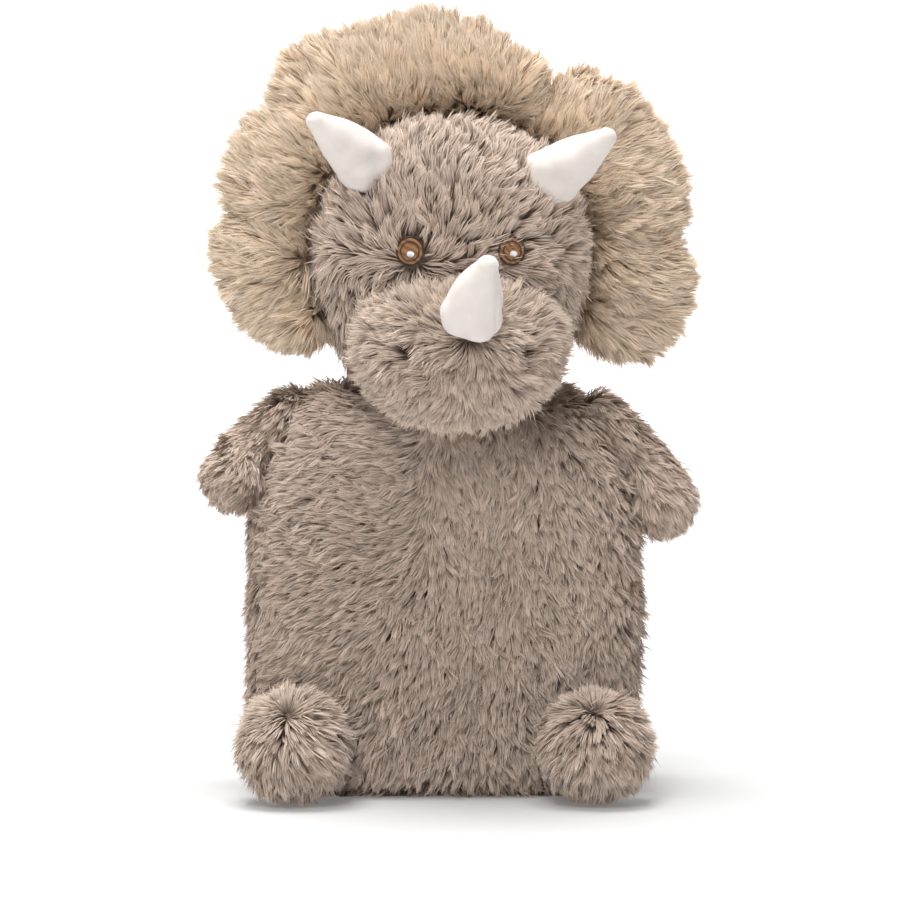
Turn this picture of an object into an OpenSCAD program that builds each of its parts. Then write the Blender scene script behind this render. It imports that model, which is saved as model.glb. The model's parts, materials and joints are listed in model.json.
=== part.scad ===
// Upright plush triceratops: a boxy flat-bottomed body, a ball head with a muzzle, a padded
// scalloped frill, three cloth horns, short arms and two ball feet at the front corners.
// The origin is on the floor, under the middle of the whole toy. The face looks towards -Y, and
// the toy's own left is +X. Every cover's outer surface is the top of its combed pile.

/* [Body] */
// Half the width of the body, over the pile
body_half_w = 74.5; // [66:0.5:92]
// Half the depth of the body at its middle
body_half_d = 43; // [38:0.5:54]
// Height of the shoulders' top line
body_h = 157; // [150:0.5:165]
// Radius of the top corners, seen from the front
shoulder_r = 56; // [46:0.5:66]
// Radius of the edge around the base
base_edge_r = 12; // [10:0.5:20]
// How far the body's middle sits to the toy's right of the head's
body_aside = 3; // [0:0.5:6]
// How far the body's middle sits behind the head's
body_behind = 6; // [0:0.5:10]

/* [Plush] */
// Thickness of a fur panel, with its pile combed flat
plush_t = 7; // [4:0.5:8]
// Thickness of a fur panel on the frill, the arms and the feet
thin_plush_t = 5; // [3:0.5:6]
// Space between a cover and its filling
fill_gap = 0.2; // [0.1:0.05:0.4]
// Space between two covers that are sewn together
seam_gap = 0.1; // [0.05:0.05:0.3]
// Space between pieces that move against each other
move_gap = 0.5; // [0.4:0.1:1]

/* [Pellet bag] */
// Half the width of the pellet bag
bag_half_w = 46; // [36:1:52]
// Half the depth of the pellet bag
bag_half_d = 22; // [16:1:24]
// Height of the pellet bag
bag_h = 24; // [14:1:32]

/* [Neck] */
// Space left under the head for it to nod
neck_gap = 3.6; // [3.4:0.1:5]
// Height of the nodding axis above the head's lowest point
neck_above = 8; // [6:0.5:10]
// Radius of the neck plug's ball, inside the head
plug_ball_r = 14.5; // [13:0.5:16]
// Radius of the neck plug's stem, inside the body
plug_stem_r = 11.4; // [9:0.2:11.6]
// Length of the neck plug below its ball's middle
plug_stem_len = 29.5; // [24:0.5:34]

/* [Head] */
// Radius of the head ball
head_r = 54; // [50:0.5:56]
// How far the head ball sinks between the shoulders
head_sink = 9; // [5:0.5:11]
// Turn of the head towards the toy's left, in degrees
head_yaw = 4; // [0:0.5:8]
// Half the width of the muzzle
muzzle_half_w = 41; // [34:0.5:44]
// Radius of the muzzle, seen from the side
muzzle_r = 32; // [28:0.5:34]
// How far the muzzle's middle sits in front of the head's
muzzle_ahead = 38; // [36:0.5:44]
// How far the muzzle's middle sits below the head's
muzzle_below = 32; // [29:0.5:33]
// Space between the back of the muzzle and the chest, for the head to turn and nod
chin_gap = 6.6; // [6:0.1:8]

/* [Eyes and nostrils] */
// Half the distance between the eyes
eye_half_span = 19.5; // [16:0.5:24]
// Height of the eyes above the head's middle
eye_up = 6; // [3:0.5:10]
// Radius of an embroidered eye
eye_r = 5.6; // [4:0.1:7]
// How deep the pile is clipped around an eye
eye_clip = 3; // [2:0.1:3.5]
// Thickness of the embroidery
thread_t = 1; // [0.6:0.1:1.5]
// Half the distance between the nostril stitches
nostril_half_span = 16.5; // [12:0.5:20]
// Length of a nostril stitch
nostril_len = 7; // [5:0.5:9]

/* [Frill] */
// How far the frill's scallops stand out beyond the head
frill_reach = 41.5; // [34:0.5:48]
// Depth of the notches between scallops
scallop_depth = 6; // [3:0.5:9]
// Number of scallops
scallops = 5; // [4:1:7]
// Thickness of the frill at its fullest
frill_t = 26; // [20:0.5:32]
// How far the frill's middle plane sits behind the head's middle
frill_behind = 10; // [8:0.5:16]
// Angle of the frill's lower ends below the horizontal
frill_droop = 34; // [28:1:38]

/* [Horns] */
// Length of a brow horn
brow_len = 30; // [26:0.5:36]
// Radius of a brow horn's base
brow_base_r = 11; // [9:0.5:12.5]
// Length of the nose horn
nose_len = 28; // [25:0.5:34]
// Radius of the nose horn's base
nose_base_r = 11.5; // [9:0.5:13]
// Radius of a horn's tip
horn_tip_r = 4; // [3:0.25:5]
// Thickness of the horns' cloth
horn_cloth_t = 1.2; // [0.8:0.1:2]

/* [Arms] */
// Length of an arm, from its pivot to the middle of its hand
arm_len = 30; // [25:0.5:36]
// Radius of an arm at the shoulder
arm_root_r = 11.5; // [10:0.5:14]
// Radius of an arm at the hand
arm_hand_r = 14; // [12:0.5:16]
// How far an arm's root stands off the shoulder
arm_off = 1; // [0:0.5:4]
// Where an arm sits on its shoulder, in degrees above the side
arm_angle = 38; // [34:1:44]

/* [Feet] */
// Radius of a foot
foot_r = 21.5; // [19:0.5:24]
// How far a foot's middle sits inside the body's side
foot_inset = 18.5; // [17:0.5:24]
// How far a foot's middle sits in front of the body's front
foot_ahead = 8; // [6:0.5:12]

/* [Care label] */
// Width of the care label
label_w = 20; // [14:1:28]
// Height of the care label
label_h = 28; // [20:1:36]

/* [Hidden] */

$fn = 120;
LEFT = 1;
RIGHT = -1;
TAUPE = "#9c8c7e";
BEIGE = "#c9b59c";
CLOTH = "#f1ece6";
FILLING = "#f4f2ee";

// Where the nose horn stands on the muzzle, as an angle above the muzzle's middle, and its lean
nose_up = 24;
nose_tilt = 35;
nose_aside = 12;
// How far the nose horn's foot sits to the toy's left of the muzzle's middle
nose_shift = 2;

nose_foot = [
    nose_shift,
    -muzzle_ahead - muzzle_r * cos(nose_up),
    -muzzle_below + muzzle_r * sin(nose_up)
];
nose_axis = [
    sin(nose_aside) * cos(nose_tilt),
    -sin(nose_tilt),
    cos(nose_aside) * cos(nose_tilt)
];
nose_tip = nose_foot + (nose_len - horn_tip_r) * nose_axis;
// The horn's tip is the toy's foremost point and the back of the head its rearmost
front_reach = horn_tip_r - (nose_tip[1] * cos(head_yaw) + nose_tip[0] * sin(head_yaw));
head_y = (front_reach - head_r) / 2;
body_y = head_y + body_behind;
head_z = body_h - head_sink + head_r;
frill_r = head_r + frill_reach;
foot_aside = body_half_w - foot_inset;
// The muzzle stops in front of the chest, which leans back as it rises
muzzle_back = half_depth(head_z - muzzle_below - muzzle_r) - body_behind + chin_gap;
// The frill is the toy's widest piece, so its middle is the toy's
head_x = frill_behind * sin(head_yaw);
body_x = head_x - body_aside;
neck_z = head_z - head_r + neck_above;

function unit(v) = v / norm(v);
function power(base, exponent) = sign(base) * pow(abs(base), exponent);
function mix(a, b, t) = a * (1 - t) + b * t;

// ---------- closed meshes from grids of points ----------

// Points of a grid, row by row, and the number of its point i, j
function flat(grid) = [for (row = grid) for (p = row) p];
function at(i, j, cols, base) = base + i * cols + j;

// Two triangles for each cell of a grid, facing one way or the other
function cells(rows, cols, base, flip) = [
    for (i = [0 : rows - 2]) for (j = [0 : cols - 2])
        let (a = at(i, j, cols, base), b = at(i, j + 1, cols, base))
        let (c = at(i + 1, j + 1, cols, base), d = at(i + 1, j, cols, base))
        for (f = flip ? [[a, c, b], [a, d, c]] : [[a, b, c], [a, c, d]]) f
];

// Walls that join the edges of two grids of the same size
function edge_walls(rows, cols, base) = concat(
    [for (j = [0 : cols - 2]) for (i = [0, rows - 1])
        let (a = at(i, j, cols, 0), b = at(i, j + 1, cols, 0), c = b + base, d = a + base)
        for (f = i == 0 ? [[a, d, c], [a, c, b]] : [[a, b, c], [a, c, d]]) f],
    [for (i = [0 : rows - 2]) for (j = [0, cols - 1])
        let (a = at(i, j, cols, 0), b = at(i + 1, j, cols, 0), c = b + base, d = a + base)
        for (f = j == 0 ? [[a, b, c], [a, c, d]] : [[a, d, c], [a, c, b]]) f]
);

// A panel between an outer and an inner grid of points
module grid_shell(outer, inner) {
    rows = len(outer);
    cols = len(outer[0]);
    base = rows * cols;
    polyhedron(
        points = concat(flat(outer), flat(inner)),
        faces = concat(cells(rows, cols, 0, false), cells(rows, cols, base, true),
            edge_walls(rows, cols, base))
    );
}

// A closed solid through a stack of loops, with a fan of triangles over each end
module loop_stack(loops) {
    rows = len(loops);
    cols = len(loops[0]);
    last = rows - 1;
    low = [for (k = [0 : 2]) mean([for (p = loops[0]) p[k]])];
    high = [for (k = [0 : 2]) mean([for (p = loops[last]) p[k]])];
    foot = rows * cols;
    polyhedron(
        points = concat(flat(loops), [low, high]),
        faces = concat(
            [for (i = [0 : rows - 2]) for (j = [0 : cols - 1])
                let (n = (j + 1) % cols, a = i * cols + j, b = i * cols + n)
                let (c = b + cols, d = a + cols)
                for (f = [[a, b, c], [a, c, d]]) f],
            [for (j = [0 : cols - 1]) [foot, (j + 1) % cols, j]],
            [for (j = [0 : cols - 1])
                [foot + 1, last * cols + j, last * cols + (j + 1) % cols]]
        )
    );
}
function mean(list, i = 0) = i == len(list) ? 0 : list[i] / len(list) + mean(list, i + 1);

// ---------- body ----------

// Steps around the body, one of them at each upright seam
AROUND = 24;
SEAM = AROUND / 8;
// Height where the shoulders start to round, and where the seat for the head begins
shoulder_z = body_h - shoulder_r;
seat_r = head_r + neck_gap;
seat_rim = 30;
seat_z = head_z - sqrt(seat_r * seat_r - seat_rim * seat_rim);
stem_hole_r = plug_stem_r + move_gap + 0.1;
stem_bottom = neck_z - plug_stem_len;

// One level of the body: height, half width, half depth, squareness, and how far its middle has
// moved from the body's towards the neck's
function level(z, half_w, half_d, squareness, to_neck) = [z, half_w, half_d, squareness, to_neck];

// Half depth of the body before the shoulders close over
function half_depth(z) = body_half_d - 6 * pow(max(0, z - 40) / (body_h - 40), 1.5);

function body_levels(inset) = concat(
    [for (q = [0 : 30 : 90])
        let (r = base_edge_r - inset)
        level(inset + r * (1 - cos(q)),
            body_half_w - base_edge_r + r * sin(q),
            body_half_d - base_edge_r + r * sin(q), 4, 0)],
    [level(56, body_half_w - inset, half_depth(56) - inset, 4, 0)],
    [for (q = [0 : 14 : 56])
        let (z = shoulder_z + (shoulder_r - inset) * sin(q))
        level(z,
            body_half_w - shoulder_r + (shoulder_r - inset) * cos(q),
            half_depth(z) - inset * (0.9 - 0.5 * q / 56), 4 - 1.6 * q / 56, 0)],
    [seat_level(seat_rim, inset)],
    [seat_level((seat_rim + stem_hole_r) / 2, inset)],
    [seat_level(stem_hole_r, inset)]
);

// A ring of the round seat under the head
function seat_level(r, inset) =
    let (ball = seat_r + inset, rim = seat_rim + 0.2 * inset)
    let (ring = r == seat_rim ? rim : r)
    level(head_z - sqrt(ball * ball - ring * ring), ring, ring, 2, 1);

function body_point(lv, u) = [
    mix(body_x, head_x, lv[4]) + lv[1] * power(cos(u), 2 / lv[3]),
    mix(body_y, head_y, lv[4]) + lv[2] * power(sin(u), 2 / lv[3]),
    lv[0]
];
function body_grid(inset, first, last) = [
    for (lv = body_levels(inset)) [for (k = [first : last]) body_point(lv, k * 360 / AROUND)]
];
function body_loop(lv) = [for (k = [0 : AROUND - 1]) body_point(lv, k * 360 / AROUND)];

module body_panel(first, last) {
    grid_shell(body_grid(0, first, last), body_grid(plush_t, first, last));
}

// The back panel's two edges are the seams at the toy's back corners, and so on round the body
module body_back_panel() { color(TAUPE) body_panel(SEAM, 3 * SEAM); }
module body_right_gusset() { color(TAUPE) body_panel(3 * SEAM, 5 * SEAM); }
module body_front_panel() { color(TAUPE) body_panel(5 * SEAM, 7 * SEAM); }
module body_left_gusset() { color(TAUPE) body_panel(7 * SEAM, 9 * SEAM); }

module base_panel() {
    outline = [for (p = body_loop(body_levels(0)[0])) [p[0], p[1]]];
    color(TAUPE) linear_extrude(plush_t) polygon(outline);
}

// The pocket for the pellet bag is part of the filling's lower surface
function bag_level(z, grow) = level(z, bag_half_w + grow, bag_half_d + grow, 3, 0);
function filling_levels() =
    let (inset = plush_t + fill_gap, levels = body_levels(inset))
    concat(
        [bag_level(plush_t + bag_h + 2 * fill_gap, fill_gap - 6)],
        [bag_level(plush_t + bag_h - 6, fill_gap)],
        [bag_level(inset, fill_gap)],
        levels,
        [level(stem_bottom - move_gap, stem_hole_r, stem_hole_r, 2, 1)]
    );

module body_stuffing() {
    color(FILLING) loop_stack([for (lv = filling_levels()) body_loop(lv)]);
}

module pellet_bag() {
    low = plush_t + fill_gap;
    top = plush_t + bag_h + fill_gap;
    color("#8f9aa3") loop_stack([
        for (lv = [bag_level(low, -4), bag_level(low + 4, 0), bag_level(top - 7, 0), bag_level(top, -6.5)])
            body_loop(lv)
    ]);
}

module care_label() {
    back = body_y + half_depth(label_h / 2 + 8) + 0.4;
    color("white") translate([body_x + 22, back, base_edge_r - 3]) cube([label_w, 0.6, label_h]);
}

// ---------- neck ----------

module neck_plug() {
    color(FILLING) translate([head_x, head_y, 0]) union() {
        translate([0, 0, neck_z]) sphere(plug_ball_r);
        translate([0, 0, stem_bottom]) cylinder(h = plug_stem_len, r = plug_stem_r);
    }
}

// ---------- head ----------

// Everything on the head is drawn around the head's middle and then turned and lifted
module on_head() {
    translate([head_x, head_y, head_z]) rotate([0, 0, head_yaw]) children();
}
module neck_socket() {
    translate([0, 0, neck_z - head_z]) sphere(plug_ball_r + move_gap);
}
// A plump roll that lies across the face
module muzzle_shape(inset) {
    translate([0, -muzzle_ahead, -muzzle_below]) rotate([0, 90, 0]) rotate_extrude()
        polygon([
            for (q = [-90 : 12 : 90])
                [max(0, (muzzle_r - inset) * cos(q)), (muzzle_half_w - inset) * sin(q)]
        ]);
}
module front_of_head(from) {
    translate([-100, -from - 100, -100]) cube([200, 100, 200]);
}

function eye_dir(side) = unit([
    side * eye_half_span,
    -sqrt(head_r * head_r - eye_half_span * eye_half_span - eye_up * eye_up),
    eye_up
]);
// Turns +Z onto a direction
module pointing(dir) {
    rotate([0, acos(dir[2]), atan2(dir[1], dir[0])]) children();
}
module eye_pocket(side) {
    pointing(eye_dir(side)) translate([0, 0, head_r - eye_clip]) cylinder(h = 10, r = eye_r + 0.4);
}
// The face panels end where the frill is sewn in
face_seam = frill_behind;
// Half the head cover's outline, cut across: x is out from the middle, y is forwards
module head_band(from, to) {
    intersection() {
        difference() {
            circle(head_r);
            circle(head_r - plush_t);
        }
        translate([0, from]) square([head_r + 1, to - from]);
    }
}
module face_panel(side) {
    color(TAUPE) on_head() difference() {
        rotate([90, 0, 0]) rotate([0, 0, -90 * side])
            rotate_extrude(angle = 180) head_band(-face_seam, head_r + 1);
        neck_socket();
        eye_pocket(side);
    }
}
module head_left_panel() { face_panel(LEFT); }
module head_right_panel() { face_panel(RIGHT); }
module head_back_panel() {
    color(TAUPE) on_head() difference() {
        rotate([90, 0, 0]) rotate_extrude() head_band(-head_r - 1, -face_seam);
        neck_socket();
    }
}
module head_stuffing() {
    color(FILLING) on_head() difference() {
        sphere(head_r - plush_t - fill_gap);
        neck_socket();
    }
}

module muzzle_cover() {
    color(TAUPE) on_head() difference() {
        intersection() {
            muzzle_shape(0);
            front_of_head(muzzle_back);
        }
        muzzle_shape(plush_t);
        sphere(head_r + seam_gap);
        nostril_pocket(LEFT);
        nostril_pocket(RIGHT);
    }
}
module muzzle_stuffing() {
    color(FILLING) on_head() difference() {
        intersection() {
            muzzle_shape(plush_t + fill_gap);
            front_of_head(muzzle_back);
        }
        sphere(head_r + seam_gap);
    }
}

// ---------- eyes and nostrils ----------

// A flat disc of stitches in an eye's pocket
module stitched_disc(side, r, hole) {
    on_head() pointing(eye_dir(side)) translate([0, 0, head_r - eye_clip + seam_gap])
        difference() {
            cylinder(h = thread_t, r = r);
            if (hole > 0) translate([0, 0, -1]) cylinder(h = thread_t + 2, r = hole);
        }
}
eye_ring = 1.5;
highlight_r = 1.4;
module eye_outline(side) {
    color("#4a3020") stitched_disc(side, eye_r, eye_r - eye_ring);
}
module eye_iris(side) {
    color("#a87850") stitched_disc(side, eye_r - eye_ring - 0.05, highlight_r + 0.05);
}
module eye_highlight(side) {
    color("white") stitched_disc(side, highlight_r, 0);
}
module left_eye_outline() { eye_outline(LEFT); }
module left_eye_iris() { eye_iris(LEFT); }
module left_eye_highlight() { eye_highlight(LEFT); }
module right_eye_outline() { eye_outline(RIGHT); }
module right_eye_iris() { eye_iris(RIGHT); }
module right_eye_highlight() { eye_highlight(RIGHT); }

// How deep the muzzle's pile is pulled in at a nostril
nostril_clip = 3;
nostril_y = -muzzle_ahead - muzzle_r * sqrt(1 - pow(nostril_half_span / muzzle_half_w, 2));
// A short rounded bar across the muzzle's front, leaning in at its top
module nostril_bar(side, half_w, y_from, y_len) {
    translate([side * nostril_half_span, y_from, -muzzle_below]) rotate([0, side * 35, 0])
        rotate([-90, 0, 0]) union() {
            for (end = [-1, 1]) translate([0, end * (nostril_len / 2 - 1.2), 0])
                cylinder(h = y_len, r = half_w);
            translate([-half_w, -nostril_len / 2 + 1.2, 0])
                cube([2 * half_w, nostril_len - 2.4, y_len]);
        }
}
module nostril_pocket(side) {
    nostril_bar(side, 1.3, nostril_y - 8, 8 + nostril_clip + 0.1);
}
module nostril(side) {
    color("#7a5238") on_head()
        nostril_bar(side, 1.1, nostril_y + nostril_clip - thread_t, thread_t);
}
module left_nostril() { nostril(LEFT); }
module right_nostril() { nostril(RIGHT); }

// ---------- horns ----------

// Outline of half a horn: slightly swollen flank, round tip
function horn_outline(len, base_r, inset) =
    let (tip = horn_tip_r - inset, reach = len - horn_tip_r)
    concat(
        [[0, -8], [base_r - inset, -8], [base_r - inset, 0]],
        [for (t = [0.25 : 0.25 : 0.75])
            [mix(base_r, horn_tip_r, t) + 0.7 * sin(180 * t) - inset, reach * t]],
        [for (q = [0 : 18 : 90]) [max(0, tip * cos(q)), reach + tip * sin(q)]]
    );
module horn_shape(foot, dir, len, base_r, inset) {
    translate(foot) pointing(dir) rotate_extrude() polygon(horn_outline(len, base_r, inset));
}
// A brow horn points straight out from the head's middle; the toy's left one sits lower
function brow_dir(side) = unit(side > 0 ? [0.69, -0.49, 0.53] : [-0.65, -0.45, 0.61]);
// How far a horn's foot is set into the pile
horn_set_in = 2;
module brow_horn(side, inset) {
    dir = brow_dir(side);
    horn_shape((head_r - horn_set_in) * dir, dir, brow_len, brow_base_r, inset);
}
module brow_horn_cover(side) {
    color(CLOTH) on_head() difference() {
        brow_horn(side, 0);
        brow_horn(side, horn_cloth_t);
        sphere(head_r + seam_gap);
    }
}
module brow_horn_stuffing(side) {
    color(FILLING) on_head() difference() {
        brow_horn(side, horn_cloth_t + fill_gap);
        sphere(head_r + seam_gap);
    }
}
module nose_horn(inset) {
    horn_shape(nose_foot, nose_axis, nose_len, nose_base_r, inset);
}
module nose_horn_cover() {
    color(CLOTH) on_head() difference() {
        nose_horn(0);
        nose_horn(horn_cloth_t);
        muzzle_shape(-seam_gap);
        sphere(head_r + seam_gap);
    }
}
module nose_horn_stuffing() {
    color(FILLING) on_head() difference() {
        nose_horn(horn_cloth_t + fill_gap);
        muzzle_shape(-seam_gap);
        sphere(head_r + seam_gap);
    }
}
module left_brow_horn_cover() { brow_horn_cover(LEFT); }
module left_brow_horn_stuffing() { brow_horn_stuffing(LEFT); }
module right_brow_horn_cover() { brow_horn_cover(RIGHT); }
module right_brow_horn_stuffing() { brow_horn_stuffing(RIGHT); }

// ---------- frill ----------

// The frill runs from one lower end, over the head, to the other, in equal steps
FRILL_STEPS = 30;
RADIAL_STEPS = 5;
frill_span = 180 + 2 * frill_droop;
frill_inner = head_r + move_gap + 0.3;
end_round = 14;

function scallop(angle) =
    1 - abs(sin(scallops * 180 * (angle + frill_droop) / frill_span));
function end_share(angle) =
    let (to_end = min(angle + frill_droop, 180 + frill_droop - angle) / end_round)
    0.3 + 0.7 * sqrt(1 - pow(1 - min(1, to_end), 2));
function frill_edge(angle, inset) =
    let (full = frill_r - scallop_depth * pow(scallop(angle), 2) - inset)
    frill_inner + (full - frill_inner) * end_share(angle);
function frill_half_t(s, inset) =
    (frill_t / 2) * (0.45 + 0.55 * sin(90 * min(1, 2 * s))) * sqrt(1 - pow(s, 6)) * (1 - 2 * inset / frill_t);

// A point of the frill: s runs from the head outwards, face is -1 in front and 1 behind
function frill_point(angle, s, face, inset) =
    let (out = mix(frill_inner, frill_edge(angle, inset), s))
    let (back = frill_behind + face * frill_half_t(s, inset))
    let (ring = s == 0 ? sqrt(frill_inner * frill_inner - back * back) : out)
    [ring * cos(angle), back, ring * sin(angle)];
function frill_angle(i, inset) =
    let (trim = inset / frill_inner * 180 / PI)
    mix(-frill_droop + trim, 180 + frill_droop - trim, i / FRILL_STEPS);
function frill_grid(face, inset) = [
    for (i = [0 : FRILL_STEPS]) [
        for (j = [0 : RADIAL_STEPS])
            frill_point(frill_angle(i, inset), j / RADIAL_STEPS, face, inset)
    ]
];
function frill_loop(i, inset) = concat(
    [for (j = [0 : RADIAL_STEPS]) frill_point(frill_angle(i, inset), j / RADIAL_STEPS, -1, inset)],
    [for (j = [RADIAL_STEPS - 1 : -1 : 0])
        frill_point(frill_angle(i, inset), j / RADIAL_STEPS, 1, inset)]
);

module frill_front_panel() {
    color(BEIGE) on_head() grid_shell(frill_grid(-1, 0), frill_grid(-1, thin_plush_t));
}
module frill_back_panel() {
    color(BEIGE) on_head() grid_shell(frill_grid(1, thin_plush_t), frill_grid(1, 0));
}
module frill_wadding() {
    color(FILLING) on_head()
        loop_stack([for (i = [0 : FRILL_STEPS]) frill_loop(i, thin_plush_t + fill_gap)]);
}

// ---------- arms ----------

// Outline of half an arm: a round root, a straight flank and a rounder hand
function arm_outline(inset) =
    let (root = arm_root_r - inset, hand = arm_hand_r - inset)
    concat(
        [for (q = [-90 : 18 : 0]) [max(0, root * cos(q)), root * sin(q)]],
        [for (q = [0 : 18 : 90]) [max(0, hand * cos(q)), arm_len + hand * sin(q)]]
    );
// How far the arms sit in front of the body's middle
arm_ahead = 4;
// The middle of an arm's root
function arm_pivot(side) = [
    body_x + side * (body_half_w - shoulder_r + (shoulder_r + arm_off) * cos(arm_angle)),
    body_y - arm_ahead,
    shoulder_z + (shoulder_r + arm_off) * sin(arm_angle)
];
// The toy's right arm points further forwards
function arm_dir(side) = unit(side > 0 ? [0.6, -0.1, -0.8] : [-0.52, -0.5, -0.68]);

module arm_shape(side, inset) {
    translate(arm_pivot(side)) pointing(arm_dir(side)) rotate_extrude() polygon(arm_outline(inset));
}
// The space that the body takes up beside an arm
module beside_body(side) {
    translate([body_x + side * (body_half_w - shoulder_r), 0, 0]) {
        translate([0, body_y + 80, shoulder_z]) rotate([90, 0, 0])
            cylinder(h = 160, r = shoulder_r + move_gap, $fn = 128);
        translate([side > 0 ? -20 : -shoulder_r - move_gap, body_y - 80, 0])
            cube([20 + shoulder_r + move_gap, 160, shoulder_z]);
    }
}
module arm_cover(side) {
    color(TAUPE) difference() {
        arm_shape(side, 0);
        arm_shape(side, thin_plush_t);
        beside_body(side);
    }
}
module arm_stuffing(side) {
    color(FILLING) difference() {
        arm_shape(side, thin_plush_t + fill_gap);
        beside_body(side);
    }
}
module left_arm_cover() { arm_cover(LEFT); }
module left_arm_stuffing() { arm_stuffing(LEFT); }
module right_arm_cover() { arm_cover(RIGHT); }
module right_arm_stuffing() { arm_stuffing(RIGHT); }

// ---------- feet ----------

function foot_middle(side) = [
    body_x + side * foot_aside,
    body_y - body_half_d - foot_ahead,
    foot_r
];
// Half a foot's outline: x is out from its middle, y is forwards, and its back is flat
module foot_half(inset) {
    intersection() {
        circle(foot_r - inset);
        translate([0, move_gap - foot_ahead]) square([foot_r, 2 * foot_r]);
    }
}
module foot_cover(side) {
    color(TAUPE) translate(foot_middle(side)) rotate([90, 0, 0]) rotate_extrude() difference() {
        foot_half(0);
        foot_half(thin_plush_t);
    }
}
module foot_stuffing(side) {
    color(FILLING) translate(foot_middle(side)) rotate([90, 0, 0])
        rotate_extrude() foot_half(thin_plush_t + fill_gap);
}
module left_foot_cover() { foot_cover(LEFT); }
module left_foot_stuffing() { foot_stuffing(LEFT); }
module right_foot_cover() { foot_cover(RIGHT); }
module right_foot_stuffing() { foot_stuffing(RIGHT); }

body_front_panel();
body_back_panel();
body_left_gusset();
body_right_gusset();
base_panel();
body_stuffing();
pellet_bag();
neck_plug();
head_left_panel();
head_right_panel();
head_back_panel();
head_stuffing();
muzzle_cover();
muzzle_stuffing();
frill_front_panel();
frill_back_panel();
frill_wadding();
nose_horn_cover();
nose_horn_stuffing();
left_brow_horn_cover();
left_brow_horn_stuffing();
right_brow_horn_cover();
right_brow_horn_stuffing();
left_eye_outline();
left_eye_iris();
left_eye_highlight();
right_eye_outline();
right_eye_iris();
right_eye_highlight();
left_nostril();
right_nostril();
left_arm_cover();
left_arm_stuffing();
right_arm_cover();
right_arm_stuffing();
left_foot_cover();
left_foot_stuffing();
right_foot_cover();
right_foot_stuffing();
care_label();
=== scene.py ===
import json
import math

import bmesh
import bpy
import numpy as np
from mathutils import Matrix, Vector, kdtree, noise

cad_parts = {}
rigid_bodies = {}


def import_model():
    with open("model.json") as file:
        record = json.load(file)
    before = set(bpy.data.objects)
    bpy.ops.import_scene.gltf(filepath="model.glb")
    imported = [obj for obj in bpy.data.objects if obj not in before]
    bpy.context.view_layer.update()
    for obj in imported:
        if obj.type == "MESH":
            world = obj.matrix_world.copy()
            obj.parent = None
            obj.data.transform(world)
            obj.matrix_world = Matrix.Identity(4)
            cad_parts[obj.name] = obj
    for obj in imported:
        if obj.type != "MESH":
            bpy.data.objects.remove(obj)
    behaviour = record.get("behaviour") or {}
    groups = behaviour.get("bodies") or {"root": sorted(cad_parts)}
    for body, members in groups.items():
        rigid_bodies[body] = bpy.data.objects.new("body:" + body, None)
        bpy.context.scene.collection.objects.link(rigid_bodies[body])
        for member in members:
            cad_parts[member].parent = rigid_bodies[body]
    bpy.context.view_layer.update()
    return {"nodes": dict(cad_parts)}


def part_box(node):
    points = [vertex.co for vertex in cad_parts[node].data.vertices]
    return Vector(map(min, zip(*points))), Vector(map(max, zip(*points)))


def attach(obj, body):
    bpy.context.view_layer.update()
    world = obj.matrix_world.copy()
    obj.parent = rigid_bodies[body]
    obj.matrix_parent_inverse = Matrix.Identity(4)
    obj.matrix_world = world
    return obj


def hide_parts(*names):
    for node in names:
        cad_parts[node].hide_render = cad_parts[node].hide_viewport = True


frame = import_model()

# ---------- camera ----------
# A long lens a little above the toy's middle, looking straight at its face.
scene = bpy.context.scene
MM = 0.001
camera_aim = Vector((0.0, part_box("head_stuffing")[0][1] + 47 * MM, 127.5 * MM))
camera_rise = math.radians(5.5)
camera_reach = 2.6
lens = bpy.data.cameras.new("camera")
lens.lens = 277
lens.clip_end = 20
camera = bpy.data.objects.new("camera", lens)
camera.location = camera_aim + camera_reach * Vector((0, -math.cos(camera_rise), math.sin(camera_rise)))
camera.rotation_euler = (camera_aim - camera.location).to_track_quat("-Z", "Y").to_euler()
scene.collection.objects.link(camera)
scene.camera = camera
scene.view_settings.view_transform = "Standard"

# ---------- body ----------
# Four knitted-back panels of taupe long-pile plush, sewn at the corners and closed over the
# shoulders. Under the pile the backing follows the filling. The pile is brushed sideways on the
# chest's right half, outwards below it and downwards everywhere else.


def linear(hex_colour):
    """An sRGB hex colour as the linear RGBA that the shaders take."""
    parts = [int(hex_colour[i:i + 2], 16) / 255 for i in (1, 3, 5)]
    return [p / 12.92 if p <= 0.04045 else ((p + 0.055) / 1.055) ** 2.4 for p in parts] + [1.0]


def add_node(tree, kind, links=(), **settings):
    """A node with its settings; links are (socket name or number, value or output socket)."""
    node = tree.nodes.new(kind)
    for key, value in settings.items():
        setattr(node, key, value)
    for socket, value in links:
        if isinstance(value, bpy.types.NodeSocket):
            tree.links.new(value, node.inputs[socket])
        else:
            node.inputs[socket].default_value = value
    return node


def start_material(name, roughness, sheen=0.0):
    """A new material with its node tree and its Principled shader."""
    material = bpy.data.materials.new(name)
    material.use_nodes = True
    shader = material.node_tree.nodes["Principled BSDF"]
    shader.inputs["Roughness"].default_value = roughness
    shader.inputs["Sheen Weight"].default_value = sheen
    shader.inputs["Sheen Roughness"].default_value = 0.4
    shader.inputs["Specular IOR Level"].default_value = 0.25
    return material, material.node_tree, shader


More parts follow.
